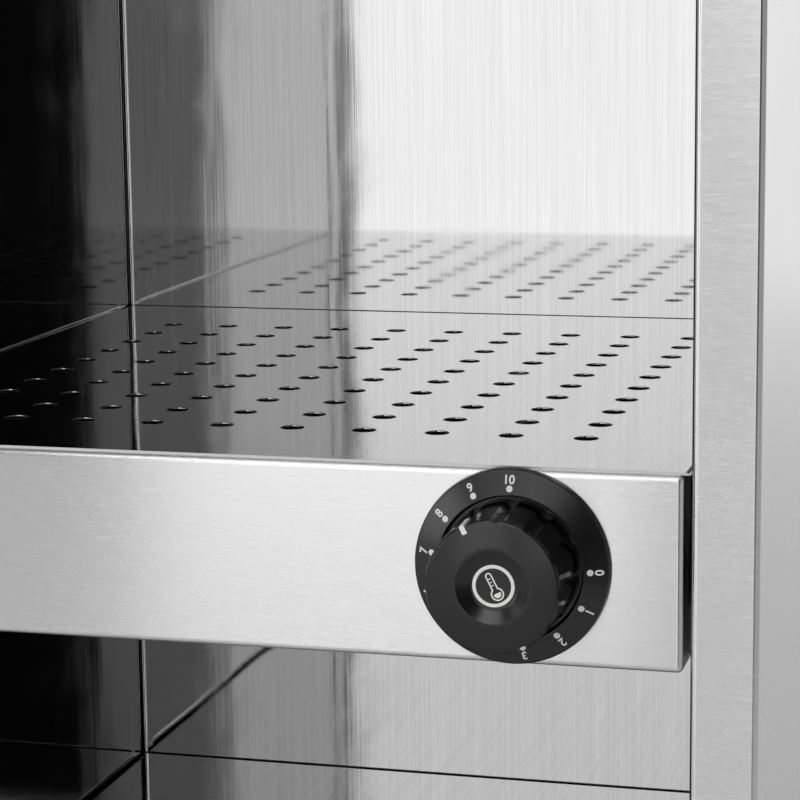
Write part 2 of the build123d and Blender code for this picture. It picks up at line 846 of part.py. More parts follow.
def cutout_wire():
    """Cutout to the thermostat's first blade."""
    blade_x = cutout_x - cutout_blade_x
    end_x = knob_x - thermostat_blade_x
    end_z = knob_z + thermostat_blade_y
    points = [
        (blade_x, cutout_y, reflector_z + cutout_height + blade_length),
        (blade_x, cutout_y, wire_z),
        (end_x, plate_y0 + wire_step, wire_z),
        (end_x, blade_tip_y + wire_stub, end_z),
        (end_x, blade_tip_y, end_z),
    ]
    return tube_path(points, wire_radius, wire_bend)


def switched_wire():
    """Thermostat's second blade to the element's front pin."""
    start_x = knob_x + thermostat_blade_x
    start_z = knob_z + thermostat_blade_y
    points = [
        (start_x, blade_tip_y, start_z),
        (start_x, blade_tip_y + wire_stub, start_z),
        (pin_x, leg_ys[0] - pin_reach - 2 * wire_stub, element_z),
        (pin_x, leg_ys[0] - pin_reach, element_z),
    ]
    return tube_path(points, wire_radius, wire_bend)


def neutral_wire():
    """Element's rear pin to the terminal block."""
    x, y, z = pole(2)
    points = [
        (pin_x, leg_ys[-1] + pin_reach, element_z),
        (pin_x, plate_y1 + wire_stub, element_z - wire_step),
        (x, plate_y1 + wire_step, z + wire_stub),
        (x, plate_y1 + wire_step, z),
        (x, y, z),
    ]
    return tube_path(points, wire_radius, 0.75 * wire_bend)


def earth_wire():
    x, y, z = pole(0)
    side_y = y - wire_stub
    end_y = earth_y - earth_radius - clearance
    points = [(x, y, z), (x, side_y, z), (earth_x, side_y, z), (earth_x, end_y, z)]
    return tube_path(points, wire_radius, 0.75 * wire_bend)


def earth_stud():
    """Welded stud with its nut."""
    stud = rod(earth_radius, 0, earth_height) + hexagon(foot_nut_flats, 0, foot_nut_height)
    return Pos(earth_x, earth_y, box_floor_top) * stud


def gland_body():
    """Threaded stem through the rear panel with a hexagon outside."""
    body = rod(gland_thread_radius, -sheet - gland_nut_height - 2, 0)
    body += hexagon(gland_across_flats, 0, gland_hex)
    body += rod(gland_stub_radius, gland_hex, gland_hex + gland_stub)
    return gland * (body - rod(gland_bore, -rear_space, gland_reach))


def gland_nut():
    top = -sheet
    body = hexagon(gland_across_flats, top - gland_nut_height, top)
    return gland * (body - rod(gland_thread_radius + running_clearance, -rear_space, 1))


def gland_seal():
    body = rod(gland_bore - running_clearance, gland_hex + gland_seal_step, gland_hex + gland_stub)
    return gland * (body - rod(gland_seal_bore, 0, gland_reach))


def gland_cap():
    """Clamping cap: grip flats at its root and a rounded nose."""
    start = gland_hex + clearance
    outline = [(0, start), (gland_cap_radius, start), (gland_cap_radius, gland_reach), (0, gland_reach)]
    body = turned(outline, [0, 0, gland_nose, 0])
    grip_end = start + gland_cap_grip
    body -= rod(2 * gland_cap_radius, start - 1, grip_end) - hexagon(gland_cap_flats, start - 2, grip_end + 1)
    body -= rod(gland_stub_radius + running_clearance, 0, gland_hex + gland_stub + clearance)
    return gland * (body - rod(gland_seal_bore + clearance, 0, gland_reach + 1))


def foot(place):
    """Rubber foot, recessed below for its screw."""
    x, y = foot_places[place]
    outline = [
        (foot_bore, foot_recess),
        (foot_recess_radius, foot_recess),
        (foot_recess_radius, 0),
        (foot_tip_radius, 0),
        (foot_radius, foot_height),
        (foot_bore, foot_height),
    ]
    return Pos(x, y, 0) * turned(outline, [0, 0, 0, foot_edge, 0, 0])


def foot_screws():
    length = foot_height - foot_recess + sheet + foot_nut_height + 1
    screw = Rot(180, 0, 0) * pan_head_screw(foot_screw_radius, foot_head_radius, foot_head_height, length)
    return Compound(children=[Pos(x, y, foot_recess) * screw for x, y in foot_places.values()])


def foot_nuts():
    nut = hexagon(foot_nut_flats, tray_top, tray_top + foot_nut_height)
    nut -= rod(foot_screw_radius + running_clearance, 0, floor_z)
    return Compound(children=[Pos(x, y, 0) * nut for x, y in foot_places.values()])


def screws_into_rear(places, seat_y):
    screw = pan_head_screw(panel_screw_radius, panel_screw_head, panel_screw_head_height, panel_screw_length)
    return Compound(children=[Location((x, seat_y, z), (-90, 0, 0)) * screw for x, z in places])


def rear_panel_screws():
    places = [(side * rear_screw_x, z) for z in rear_screw_levels for side in (-1, 1)]
    return screws_into_rear(places, rear_y)


def cover_screws():
    places = [(side * rear_screw_x, cover_screw_z) for side in (-1, 1)]
    return screws_into_rear(places, rear_y + cover_play + sheet)


def fascia_screws():
    """Screws from below through the fascia's lower flange and the box floor."""
    screw = Rot(180, 0, 0) * pan_head_screw(
        panel_screw_radius, panel_screw_head, panel_screw_head_height, panel_screw_length
    )
    return Compound(children=[Pos(x, fascia_screw_y, box_z) * screw for x in fascia_screw_xs])


def fascia_nuts():
    nut = hexagon(panel_nut_flats, box_floor_top, box_floor_top + panel_nut_height)
    nut -= rod(panel_screw_radius + running_clearance, box_z, deck_z)
    return Compound(children=[Pos(x, fascia_screw_y, 0) * nut for x in fascia_screw_xs])


def all_parts():
    outer = right_outer_panel()
    inner = right_inner_panel()
    rail = right_shelf_rail()
    parts = {
        "base_tray": base_tray(),
        "base_shelf": base_shelf(),
        "right_outer_panel": outer,
        "left_outer_panel": mirrored(outer),
        "right_inner_panel": inner,
        "left_inner_panel": mirrored(inner),
        "rear_inner_panel": rear_inner_panel(),
        "rear_outer_panel": rear_outer_panel(),
        "ceiling_panel": ceiling_panel(),
        "front_header": front_header(),
        "top_cover": top_cover(),
        "heated_shelf": heated_shelf(),
        "control_fascia": control_fascia(),
        "heater_box_floor": heater_box_floor(),
        "right_shelf_rail": rail,
        "left_shelf_rail": mirrored(rail),
        "rail_rivets": rail_rivets(),
        "upper_shelf": upper_shelf(),
        "shelf_pegs": shelf_pegs(),
        "heat_reflector": heat_reflector(),
        "heating_element": heating_element(),
        "element_seals": element_seals(),
        "element_clips": element_clips(),
        "thermal_cutout": thermal_cutout(),
        "thermostat_body": thermostat_body(),
        "thermostat_shaft": thermostat_shaft(),
        "thermostat_screws": thermostat_screws(),
        "thermostat_capillary": thermostat_capillary(),
        "sensor_bulb": sensor_bulb(),
        "bulb_clips": bulb_clips(),
        "terminal_block": terminal_block(),
        "live_wire": live_wire(),
        "cutout_wire": cutout_wire(),
        "switched_wire": switched_wire(),
        "neutral_wire": neutral_wire(),
        "earth_wire": earth_wire(),
        "earth_stud": earth_stud(),
        "gland_body": gland_body(),
        "gland_nut": gland_nut(),
        "gland_seal": gland_seal(),
        "gland_cap": gland_cap(),
        "dial_bezel": dial_bezel(),
        "control_knob": control_knob(),
        "knob_pointer": knob_pointer(),
        "foot_screws": foot_screws(),
        "foot_nuts": foot_nuts(),
        "rear_panel_screws": rear_panel_screws(),
        "cover_screws": cover_screws(),
        "fascia_screws": fascia_screws(),
        "fascia_nuts": fascia_nuts(),
    }
    for place in foot_places:
        parts["foot_" + place] = foot(place)
    return parts


os.makedirs("parts", exist_ok=True)
for node, shape in all_parts().items():
    export_step(shape, "parts/" + node + ".step")
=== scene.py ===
import bpy
import math
import numpy as np
from mathutils import Matrix, Vector


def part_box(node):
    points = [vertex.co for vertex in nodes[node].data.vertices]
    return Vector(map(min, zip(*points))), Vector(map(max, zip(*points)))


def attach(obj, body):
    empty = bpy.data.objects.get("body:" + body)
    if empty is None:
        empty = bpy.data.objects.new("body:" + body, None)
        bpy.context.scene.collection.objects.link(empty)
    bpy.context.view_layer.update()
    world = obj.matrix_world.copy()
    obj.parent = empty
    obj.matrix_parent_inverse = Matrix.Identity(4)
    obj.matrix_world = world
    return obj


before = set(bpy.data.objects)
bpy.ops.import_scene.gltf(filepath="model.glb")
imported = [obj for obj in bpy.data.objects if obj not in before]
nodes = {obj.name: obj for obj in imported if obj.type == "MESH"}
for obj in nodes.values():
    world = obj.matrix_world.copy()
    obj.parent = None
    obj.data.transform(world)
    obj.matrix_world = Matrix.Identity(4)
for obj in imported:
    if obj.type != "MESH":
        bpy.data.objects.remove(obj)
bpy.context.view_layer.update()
mm = 0.001
print("frame loaded,", len(nodes), "nodes")


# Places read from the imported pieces
bezelLow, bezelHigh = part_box("dial_bezel")
knobLow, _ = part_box("control_knob")
deckLow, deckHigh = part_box("heated_shelf")
dialX, dialZ = (bezelLow.x + bezelHigh.x) / 2, (bezelLow.z + bezelHigh.z) / 2
fasciaY = bezelHigh.y
knobFrontY = knobLow.y


# Small helpers for meshes

def ringFaces(rows, columns):
    # a grid closed both ways: quad (i, j) joins point i * columns + j to its neighbours
    # in the next row and the next column
    i, j = np.meshgrid(np.arange(rows), np.arange(columns), indexing="ij")
    nextRow, nextColumn = (i + 1) % rows, (j + 1) % columns
    corners = [(nextRow, j), (nextRow, nextColumn), (i, nextColumn), (i, j)]
    return np.stack([row * columns + column for row, column in corners], -1).reshape(-1, 4)


def arc(radius, angles, centre=0.0):
    # flat points at the given angles round a centre that lies on the first axis
    return np.stack([centre + radius * np.cos(angles), radius * np.sin(angles)], -1)


def fullTurn(steps):
    return np.linspace(0, 2 * math.pi, steps, endpoint=False)


def addMesh(name, points, faces, material, body, slotName, smooth=True):
    mesh = bpy.data.meshes.new(name)
    mesh.from_pydata(np.asarray(points, float).tolist(), [], [list(face) for face in faces])
    mesh.polygons.foreach_set("use_smooth", np.full(len(mesh.polygons), smooth))
    mesh.materials.append(material)
    mesh.update()
    obj = bpy.data.objects.new(name, mesh)
    bpy.context.scene.collection.objects.link(obj)
    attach(obj, body)


def meshArrays(mesh):
    points = np.zeros(len(mesh.vertices) * 3)
    mesh.vertices.foreach_get("co", points)
    return points.reshape(-1, 3), [list(p.vertices) for p in mesh.polygons]


def weld(points, faces):
    # points that agree to five decimals become one, and faces that collapse are dropped
    _, first, index = np.unique(np.round(points, 5), axis=0, return_index=True, return_inverse=True)
    index = index.ravel()
    joined = [list(dict.fromkeys(int(index[v]) for v in face)) for face in faces]
    return points[first], [face for face in joined if len(face) > 2]


def curveArrays(curve):
    # the filled outline as a closed plate, read back as points and faces
    holder = bpy.data.objects.new("outline", curve)
    bpy.context.scene.collection.objects.link(holder)
    depsgraph = bpy.context.evaluated_depsgraph_get()
    mesh = bpy.data.meshes.new_from_object(holder.evaluated_get(depsgraph))
    bpy.data.objects.remove(holder)
    return weld(*meshArrays(mesh))


def joinArrays(parts):
    # all parts in one list of points, with their faces counted on from the points before them
    points, faces, start = [], [], 0
    for partPoints, partFaces in parts:
        points.append(partPoints)
        faces += [[v + start for v in face] for face in partFaces]
        start += len(partPoints)
    return np.concatenate(points), faces


# Small helpers for materials

noiseRange = (0.3, 0.7)  # nearly all of a noise lies between these


class NodeTree:
    def __init__(self, name):
        self.material = bpy.data.materials.new(name)
        self.material.use_nodes = True
        self.tree = self.material.node_tree
        self.shader = self.tree.nodes["Principled BSDF"]
        self.coords = self.add("ShaderNodeTexCoord").outputs["Object"]

    def add(self, kind, **settings):
        node = self.tree.nodes.new(kind)
        for key, value in settings.items():
            setattr(node, key, value)
        return node

    def plug(self, value, socket):
        if isinstance(value, bpy.types.NodeSocket):
            self.tree.links.new(value, socket)
        else:
            socket.default_value = value

    def noise(self, stretch=(1, 1, 1), scale=1.0, detail=4.0, roughness=0.55, shift=(0, 0, 0)):
        mapping = self.add("ShaderNodeMapping")
        self.plug(self.coords, mapping.inputs["Vector"])
        mapping.inputs["Scale"].default_value = stretch
        mapping.inputs["Location"].default_value = shift
        texture = self.add("ShaderNodeTexNoise")
        self.plug(mapping.outputs["Vector"], texture.inputs["Vector"])
        texture.inputs["Scale"].default_value = scale
        texture.inputs["Detail"].default_value = detail
        texture.inputs["Roughness"].default_value = roughness
        return texture.outputs["Fac"]

    def math(self, operation, a, b=0.0, clamp=False):
        node = self.add("ShaderNodeMath", operation=operation, use_clamp=clamp)
        self.plug(a, node.inputs[0])
        self.plug(b, node.inputs[1])
        return node.outputs[0]

    def span(self, value, low, high, toLow, toHigh, smooth=False):
        node = self.add("ShaderNodeMapRange", interpolation_type="SMOOTHSTEP" if smooth else "LINEAR")
        for item, socket in zip((value, low, high, toLow, toHigh), node.inputs):
            self.plug(item, socket)
        return node.outputs[0]

    def spread(self, noise, toLow, toHigh):
        return self.span(noise, *noiseRange, toLow, toHigh)

    def mix(self, fac, a, b):
        # a mix of colours uses the sockets 6 and 7 and the output 2 of its node
        node = self.add("ShaderNodeMix", data_type="RGBA")
        self.plug(fac, node.inputs[0])
        self.plug(a, node.inputs[6])
        self.plug(b, node.inputs[7])
        return node.outputs[2]

    def axis(self, name):
        node = self.add("ShaderNodeSeparateXYZ")
        self.plug(self.coords, node.inputs[0])
        return node.outputs[name]

    def fromDialCentre(self):
        # distance from the dial's axis, which runs along Y
        flat = self.add("ShaderNodeVectorMath", operation="MULTIPLY_ADD")
        self.plug(self.coords, flat.inputs[0])
        flat.inputs[1].default_value = (1.0, 0.0, 1.0)
        flat.inputs[2].default_value = (-dialX, 0.0, -dialZ)
        length = self.add("ShaderNodeVectorMath", operation="LENGTH")
        self.plug(flat.outputs[0], length.inputs[0])
        return length.outputs["Value"]

    def bump(self, height, strength, distance, normal=None):
        node = self.add("ShaderNodeBump")
        self.plug(height, node.inputs["Height"])
        node.inputs["Strength"].default_value = strength
        node.inputs["Distance"].default_value = distance
        if normal is not None:
            self.plug(normal, node.inputs["Normal"])
        return node.outputs["Normal"]

    def set(self, **sockets):
        names = {
            "color": "Base Color", "metallic": "Metallic", "rough": "Roughness", "normal": "Normal",
            "aniso": "Anisotropic", "anisoTurn": "Anisotropic Rotation", "tangent": "Tangent",
            "specular": "Specular IOR Level",
        }
        for key, value in sockets.items():
            self.plug(value, self.shader.inputs[names[key]])
        return self.material


def grey(level):
    return (level, level, level, 1.0)


def brushedSteel(name, finish):
    # short fine scratches along one way, faint broad bands, and light smudges
    t = NodeTree(name)
    bandGrain = [number * finish["bandStretch"] for number in finish["grain"]]
    bandShare = finish["bandShare"]
    fine = t.noise(finish["grain"], detail=2.0, roughness=0.6)
    band = t.noise(bandGrain, detail=2.0, roughness=0.5, shift=finish["bandShift"])
    cloud = t.noise(scale=finish["cloudScale"], detail=3.0)
    streaks = t.math("ADD", t.math("MULTIPLY", fine, 1 - bandShare), t.math("MULTIPLY", band, bandShare))
    low, high = finish["color"]
    color = t.mix(t.spread(streaks, 0.0, 1.0), grey(low), grey(high))
    rough = t.math(
        "ADD",
        t.spread(streaks, *finish["rough"]),
        t.spread(cloud, -finish["smudge"], finish["smudge"]),
        clamp=True,
    )
    normal = t.bump(streaks, finish["bump"], finish["depth"])
    if finish["tangentAxis"]:
        tangent = t.add("ShaderNodeTangent", direction_type="RADIAL", axis=finish["tangentAxis"])
        t.set(tangent=tangent.outputs[0])
    t.set(aniso=finish["aniso"], anisoTurn=finish["anisoTurn"])
    return t.set(color=color, metallic=1.0, rough=rough, normal=normal)


def polishedSteel(name, finish):
    # mirror-like sheet: slow waves from rolling, faint rolling lines, a film of fingermarks,
    # and a rougher front edge where the sheet is cut, with a painted highlight: its grey is paler than the
    # sheet
    t = NodeTree(name)
    wave = t.noise(finish["waveStretch"], finish["waveScale"], detail=1.5, roughness=0.4)
    lines = t.noise(finish["grain"], detail=3.0, roughness=0.6)
    film = t.noise(scale=finish["filmScale"], detail=5.0, roughness=0.65)
    low, high = finish["color"]
    color = t.mix(t.span(lines, *finish["lineRange"], 0.0, 1.0), grey(low), grey(high))
    rough = t.math(
        "ADD",
        t.span(film, *finish["filmRange"], *finish["rough"], smooth=True),
        t.spread(lines, 0.0, finish["lineRough"]),
    )
    normal = t.bump(wave, finish["waveStrength"], finish["waveDepth"])
    normal = t.bump(lines, finish["lineBump"], finish["lineDepth"], normal)
    if finish["cutEdge"] is not None:
        edge = t.math("LESS_THAN", t.axis("Y"), finish["cutEdge"])
        # painted highlight: the cut front edge takes a paler grey that joins the bright bend below it
        color = t.mix(edge, color, grey(finish["edgeHighlightGrey"]))
        rough = t.math("ADD", rough, t.math("MULTIPLY", edge, finish["cutRough"]))
    return t.set(color=color, metallic=1.0, rough=rough, normal=normal)


def plainMetal(name, finish):
    # drawn, plated or turned metal with fine mottling in tone and gloss
    t = NodeTree(name)
    mottle = t.noise(scale=finish["scale"], detail=5.0, roughness=0.6)
    fine = t.noise(scale=finish["scale"] * plainGrain["finer"], detail=2.0)
    shade = t.span(mottle, *plainGrain["mottleRange"], 0.0, 1.0)
    color = t.mix(shade, (*finish["dark"], 1.0), (*finish["light"], 1.0))
    rough = t.spread(mottle, *finish["rough"])
    normal = t.bump(fine, finish["bump"], plainGrain["depth"])
    return t.set(color=color, metallic=1.0, rough=rough, normal=normal)


def plastic(name, finish):
    # moulded plastic, rubber or ceramic: even colour, fine surface grain, slight gloss changes
    t = NodeTree(name)
    cloud = t.noise(scale=finish["cloud"], detail=4.0)
    grain = t.noise(scale=finish["grain"], detail=2.0, roughness=0.5)
    color = t.mix(t.spread(cloud, 0.0, 1.0), (*finish["dark"], 1.0), (*finish["light"], 1.0))
    rough = t.math(
        "ADD",
        t.spread(cloud, *finish["rough"]),
        t.spread(grain, -finish["grainRough"], finish["grainRough"]),
        clamp=True,
    )
    normal = t.bump(grain, finish["bump"], finish["depth"])
    return t.set(color=color, rough=rough, normal=normal)


# Finishes of the sheet parts: the grain runs along the axes with the small numbers
outerFinish = {
    "grain": (300, 300, 4200), "color": (0.67, 0.77), "rough": (0.22, 0.28),
    "bump": 0.05, "depth": 0.12 * mm, "cloudScale": 9.0, "smudge": 0.015,
    "bandStretch": 0.16, "bandShare": 0.14, "bandShift": (3.1, 1.7, 0.4),
    "aniso": 1.0, "anisoTurn": 0.25, "tangentAxis": None,
}
fasciaFinish = dict(outerFinish, grain=(300, 4200, 4200), anisoTurn=0.0, tangentAxis="X")
deckFinish = {
    "waveStretch": (1.0, 0.35, 1.0), "waveScale": 26.0, "waveStrength": 0.16, "waveDepth": 0.9 * mm,
    "grain": (900, 9, 900), "color": (0.475, 0.525), "rough": (0.035, 0.08),
    "lineRange": (0.35, 0.65), "lineRough": 0.02, "lineBump": 0.03, "lineDepth": 0.1 * mm,
    "filmScale": 34.0, "filmRange": (0.42, 0.75),
    # the front edge's paler grey is a painted highlight
    "cutEdge": deckLow.y + 0.1 * mm, "edgeHighlightGrey": 0.6, "cutRough": 0.4,
}
wallFinish = dict(
    deckFinish, waveStretch=(1.0, 1.0, 0.4), grain=(900, 900, 9), rough=(0.03, 0.07), cutEdge=None,
)

# Finishes of the small metal parts
plainGrain = {"finer": 9, "mottleRange": (0.35, 0.68), "depth": 0.08 * mm}
millFinish = {
    "dark": (0.46, 0.46, 0.45), "light": (0.57, 0.57, 0.56), "rough": (0.3, 0.42),
    "scale": 60.0, "bump": 0.08,
}
zincFinish = {
    "dark": (0.50, 0.51, 0.53), "light": (0.68, 0.69, 0.71), "rough": (0.2, 0.34),
    "scale": 420.0, "bump": 0.12,
}
sheathFinish = {
    "dark": (0.16, 0.13, 0.10), "light": (0.30, 0.26, 0.22), "rough": (0.38, 0.55),
    "scale": 90.0, "bump": 0.2,
}
copperFinish = {
    "dark": (0.55, 0.27, 0.17), "light": (0.82, 0.47, 0.33), "rough": (0.2, 0.36),
    "scale": 160.0, "bump": 0.1,
}

# Finishes of the plastic, rubber and ceramic parts
blackFinish = {
    "dark": (0.011, 0.011, 0.011), "light": (0.017, 0.017, 0.017), "rough": (0.36, 0.44), "cloud": 40.0,
    "grain": 5200.0, "grainRough": 0.03, "bump": 0.18, "depth": 0.04 * mm,
}
rubberFinish = dict(
    blackFinish, dark=(0.02, 0.02, 0.02), light=(0.034, 0.033, 0.032), rough=(0.62, 0.78), bump=0.3,
)
ceramicFinish = {
    "dark": (0.72, 0.69, 0.62), "light": (0.84, 0.82, 0.76), "rough": (0.5, 0.65), "cloud": 120.0,
    "grain": 3000.0, "grainRough": 0.03, "bump": 0.2, "depth": 0.05 * mm,
}
printFinish = dict(ceramicFinish, dark=(0.78, 0.78, 0.76), light=(0.86, 0.86, 0.84))


def insulation(name, dark, light):
    return plastic(name, dict(ceramicFinish, dark=dark, light=light, rough=(0.38, 0.5)))


bezelFace = {
    "color": (0.004, 0.007), "rough": (0.22, 0.28), "cloud": 60.0, "specular": 0.55,
    "ringPitch": 0.18 * mm, "ringBump": 0.05, "ringDepth": 0.02 * mm,
    "grain": 3800.0, "grainBump": 0.12, "grainDepth": 0.03 * mm,
}


def bezelMaterial():
    # satin black moulding with very fine turning marks round the dial's centre
    t = NodeTree("bezelBlack")
    p = bezelFace
    rings = t.math("SINE", t.math("MULTIPLY", t.fromDialCentre(), 2 * math.pi / p["ringPitch"]))
    grain = t.noise(scale=p["grain"], detail=2.0)
    cloud = t.noise(scale=p["cloud"], detail=4.0)
    low, high = p["color"]
    color = t.mix(t.spread(cloud, 0.0, 1.0), grey(low), grey(high))
    rough = t.spread(cloud, *p["rough"])
    normal = t.bump(rings, p["ringBump"], p["ringDepth"])
    normal = t.bump(grain, p["grainBump"], p["grainDepth"], normal)
    return t.set(color=color, rough=rough, normal=normal, specular=p["specular"])


# The knob's face is very slightly domed round its dish: its height falls by dome times the radius squared.
# The gloss of the side turns into the satin of the face between edgeEnd and edgeStart behind the front.
knobFace = {
    "dome": 4.5, "dishRadius": 12.2 * mm, "edgeStart": 0.2 * mm, "edgeEnd": 0.7 * mm,
    "sideGrey": 0.002, "faceGrey": 0.005, "sideRough": 0.14, "faceRough": 0.24, "roughCloud": 0.02,
    "spark": 4600.0, "sideSpark": 0.15, "sparkBump": 0.12, "sparkDepth": 0.03 * mm, "cloud": 80.0,
}


def knobMaterial():
    # finely sparked satin face, glossy fluted side
    t = NodeTree("knobBlack")
    p = knobFace
    face = t.span(t.axis("Y"), knobFrontY + p["edgeStart"], knobFrontY + p["edgeEnd"], 1.0, 0.0, smooth=True)
    radius = t.fromDialCentre()
    face = t.math("MAXIMUM", face, t.math("LESS_THAN", radius, p["dishRadius"]))
    spark = t.noise(scale=p["spark"], detail=2.0)
    cloud = t.noise(scale=p["cloud"], detail=4.0)
    color = t.mix(face, grey(p["sideGrey"]), grey(p["faceGrey"]))
    rough = t.math(
        "ADD",
        t.span(face, 0.0, 1.0, p["sideRough"], p["faceRough"]),
        t.spread(cloud, -p["roughCloud"], p["roughCloud"]),
    )
    outward = t.math("MAXIMUM", radius, p["dishRadius"])
    height = t.math("MULTIPLY", t.math("POWER", outward, 2.0), -p["dome"])
    sparks = t.math("MULTIPLY", spark, t.span(face, 0.0, 1.0, p["sideSpark"], 1.0))
    normal = t.bump(height, 1.0, 1.0)
    normal = t.bump(sparks, p["sparkBump"], p["sparkDepth"], normal)
    return t.set(color=color, rough=rough, normal=normal)


materials = {
    "outer": brushedSteel("outerSteel", outerFinish),
    "fascia": brushedSteel("fasciaSteel", fasciaFinish),
    "deck": polishedSteel("deckSteel", deckFinish),
    "wall": polishedSteel("wallSteel", wallFinish),
    "mill": plainMetal("millSteel", millFinish),
    "zinc": plainMetal("zincPlate", zincFinish),
    "sheath": plainMetal("elementSheath", sheathFinish),
    "copper": plainMetal("drawnCopper", copperFinish),
    "black": plastic("blackNylon", blackFinish),
    "rubber": plastic("footRubber", rubberFinish),
    "ceramic": plastic("ceramicEnds", ceramicFinish),
    "white": plastic("whitePrint", printFinish),
    "bezel": bezelMaterial(),
    "knob": knobMaterial(),
    "brown": insulation("brownSleeve", (0.14, 0.06, 0.03), (0.2, 0.09, 0.05)),
    "blackSleeve": insulation("blackSleeve", (0.02, 0.02, 0.02), (0.04, 0.04, 0.04)),
    "blue": insulation("blueSleeve", (0.03, 0.09, 0.32), (0.05, 0.13, 0.4)),
    "green": insulation("greenSleeve", (0.14, 0.3, 0.04), (0.2, 0.4, 0.06)),
}
dressed = {
    "outer": ["left_outer_panel", "right_outer_panel", "rear_outer_panel"],
    "fascia": ["control_fascia", "front_header", "top_cover", "base_tray", "upper_shelf"],
    "deck": ["heated_shelf", "base_shelf", "ceiling_panel"],
    "wall": ["left_inner_panel", "right_inner_panel", "rear_inner_panel"],
    "mill": ["heater_box_floor", "left_shelf_rail", "right_shelf_rail", "heat_reflector", "element_clips",
             "bulb_clips", "thermostat_body", "thermostat_shaft"],
    "zinc": ["rail_rivets", "shelf_pegs", "foot_screws", "foot_nuts", "rear_panel_screws", "cover_screws",
             "fascia_screws", "fascia_nuts", "thermostat_screws", "earth_stud"],
    "sheath": ["heating_element"],
    "copper": ["thermostat_capillary", "sensor_bulb"],
    "black": ["gland_body", "gland_nut", "gland_cap", "thermal_cutout"],
    "rubber": ["foot_front_left", "foot_front_right", "foot_rear_left", "foot_rear_right", "gland_seal"],
    "ceramic": ["element_seals", "terminal_block"],
    "white": ["knob_pointer"],
    "bezel": ["dial_bezel"],
    "knob": ["control_knob"],
    "brown": ["live_wire", "cutout_wire"],
    "blackSleeve": ["switched_wire"],
    "blue": ["neutral_wire"],
    "green": ["earth_wire"],
}
for finishName, nodeNames in dressed.items():
    for nodeName in nodeNames:
        slots = nodes[nodeName].data.materials
        slots.clear()
        slots.append(materials[finishName])
print("materials on", sum(len(v) for v in dressed.values()), "nodes")


# Printed scale of the dial
scalePrint = {
    "numbers": 11,
    "degreesPerMark": 27.0,
    "dotRadius": 0.98 * mm,
    "dotCentre": 25.1 * mm,
    "digitHeight": 2.75 * mm,
    "digitCentre": 27.85 * mm,
    "boldness": 0.022,
    "thickness": 0.05 * mm,
    "innerRadius": 22.9 * mm,
    "outerRadius": 30.7 * mm,
    "innerHeight": 5.2 * mm,
    "outerHeight": 2.6 * mm,
    "dotSides": 28,
}


def bezelHeight(radius):
    # the scale ring is a cone: its height falls evenly from the inner lip to the outer edge
    p = scalePrint
    rise = p["innerHeight"] - p["outerHeight"]
    return p["outerHeight"] + rise * (p["outerRadius"] - radius) / (p["outerRadius"] - p["innerRadius"])


def onBezel(flat, centre, angle):
    # the drawing's up points outward and its right runs clockwise; its thickness stands on the cone
    out = centre + flat[:, 1]
    x = out * math.cos(angle) + flat[:, 0] * math.sin(angle)
    y = out * math.sin(angle) - flat[:, 0] * math.cos(angle)
    height = bezelHeight(np.hypot(x, y)) + flat[:, 2]
    return np.stack([dialX + x, fasciaY - height, dialZ + y], -1)


def disc(radius, thickness, sides):
    # a thin closed plate: rim circle at two heights and a centre point for each
    ring = arc(radius, fullTurn(sides))
    points = np.concatenate([
        np.column_stack([ring, np.zeros(sides)]),
        np.column_stack([ring, np.full(sides, thickness)]),
        [[0, 0, thickness]],
        [[0, 0, 0]],
    ])
    here = np.arange(sides)
    after = (here + 1) % sides
    rim = np.stack([here, after, after + sides, here + sides], -1).tolist()
    top = np.stack([here + sides, after + sides, np.full(sides, 2 * sides)], -1).tolist()
    bottom = np.stack([after, here, np.full(sides, 2 * sides + 1)], -1).tolist()
    return points, rim + top + bottom


def digitPlate(number):
    # the number as a plate round the origin, scaled to its height
    p = scalePrint
    text = bpy.data.curves.new("digit", "FONT")
    text.body = str(number)
    text.offset = p["boldness"]
    text.extrude = 0.5
    text.align_x = "CENTER"
    text.align_y = "CENTER"
    points, faces = curveArrays(text)
    span = points[:, 1].max() - points[:, 1].min()
    points[:, :2] -= (points[:, :2].max(0) + points[:, :2].min(0)) / 2
    points[:, :2] *= p["digitHeight"] / span
    points[:, 2] = (points[:, 2] + 0.5) * p["thickness"]
    return points, faces


def makeScale():
    p = scalePrint
    digits, dots = [], []
    for number in range(p["numbers"]):
        angle = math.radians(-p["degreesPerMark"] * number)
        points, faces = digitPlate(number)
        digits.append((onBezel(points, p["digitCentre"], angle), faces))
        points, faces = disc(p["dotRadius"], p["thickness"], p["dotSides"])
        dots.append((onBezel(points, p["dotCentre"], angle), faces))
    addMesh("dialDigits", *joinArrays(digits), materials["white"], "cabinet", "pointer_white", smooth=False)
    addMesh("dialDots", *joinArrays(dots), materials["white"], "cabinet", "pointer_white", smooth=False)


makeScale()
print("dial scale printed")


# Thermometer sign in a ring on the knob's dished face
knobSign = {
    "turn": 117.0,
    "floorBelowFace": 2.2 * mm,
    "thickness": 0.05 * mm,
    "ringOuter": 6.5 * mm,
    "ringInner": 5.45 * mm,
    "bulbPlace": -2.75 * mm,
    "bulbRadius": 2.05 * mm,
    "stemHalf": 1.05 * mm,
    "stemTip": 4.35 * mm,
    "line": 0.42 * mm,
    "mercuryInset": 2.1,  # in widths of the line
    "mercuryLevel": 75.0,  # degrees from the stem on each side
    "ticks": (0.2 * mm, 1.3 * mm, 2.4 * mm),
    "tickHalf": 0.16 * mm,
    "tickSpan": (-0.2, 0.75),  # in half widths of the stem's inside
    "steps": 40,
}


def thermometerOutline(inset):
    # bulb arc from one side of the stem round to the other, then the stem's half-round tip
    p = knobSign
    radius, half = p["bulbRadius"] - inset, p["stemHalf"] - inset
    neck = math.asin(half / radius)
    around = np.linspace(neck, 2 * math.pi - neck, p["steps"])
    over = np.linspace(-math.pi / 2, math.pi / 2, p["steps"] // 2)
    bulb = arc(radius, around, p["bulbPlace"])
    tip = arc(half, over, p["stemTip"] - p["stemHalf"])
    return np.concatenate([bulb, tip])


